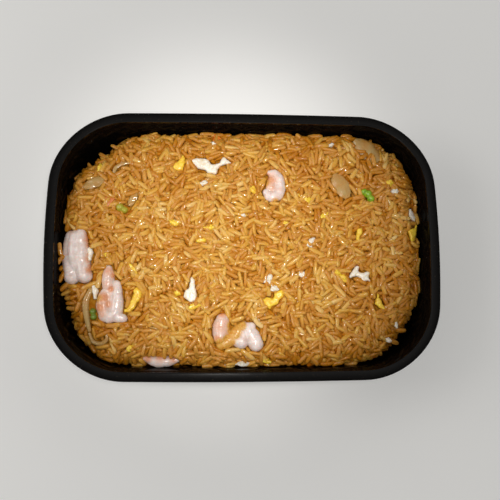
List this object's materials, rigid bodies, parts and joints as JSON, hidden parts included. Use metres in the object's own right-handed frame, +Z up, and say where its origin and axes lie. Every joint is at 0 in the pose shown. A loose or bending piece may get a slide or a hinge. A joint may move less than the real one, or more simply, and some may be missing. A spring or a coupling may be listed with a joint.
{
  "type": "fried rice",
  "caption": "Shrimp fried rice with egg, onion, peas and carrot, heaped in a low black plastic takeaway tray with round corners and a flat rim.",
  "frame": {"origin": "centre of the tray's foot, on the surface that it stands on", "axes": "+X along the tray's long side, +Y across it towards the back in the picture, +Z up"},
  "size_m": [0.222, 0.152, 0.045],
  "materials": {
    "tray": "thin black moulded polypropylene, glossy and lightly oiled",
    "rice": "wet long grains, amber to tan with soy sauce",
    "shrimp": "cooked shrimp, pinkish white with orange edges, wet",
    "onion": "cooked onion, thin and half clear",
    "egg_white": "scrambled egg white, craggy, slightly wet",
    "egg_yolk": "scrambled egg yolk, craggy, slightly wet",
    "pea": "cooked pea, wet",
    "carrot": "cooked carrot, wet"
  },
  "bodies": {
    "root": {"carrot_back": "carrot", "carrot_left": "carrot", "egg_white_back": "egg_white", "egg_white_corner": "egg_white", "egg_white_end": "egg_white", "egg_white_front": "egg_white", "egg_white_left": "egg_white", "egg_white_right": "egg_white", "egg_yolk_back": "egg_yolk", "egg_yolk_corner": "egg_yolk", "egg_yolk_end": "egg_yolk", "egg_yolk_front": "egg_yolk", "egg_yolk_left": "egg_yolk", "egg_yolk_right": "egg_yolk", "onion_back_right": "onion", "onion_centre": "onion", "onion_chip": "onion", "onion_curl": "onion", "onion_left": "onion", "onion_ring": "onion", "onion_strand": "onion", "pea_back_left": "pea", "pea_left": "pea", "pea_right": "pea", "rice": "rice", "shrimp_back": "shrimp", "shrimp_corner": "shrimp", "shrimp_edge": "shrimp", "shrimp_front": "shrimp", "shrimp_left": "shrimp", "tray": "tray"}
  },
  "joints": []
}
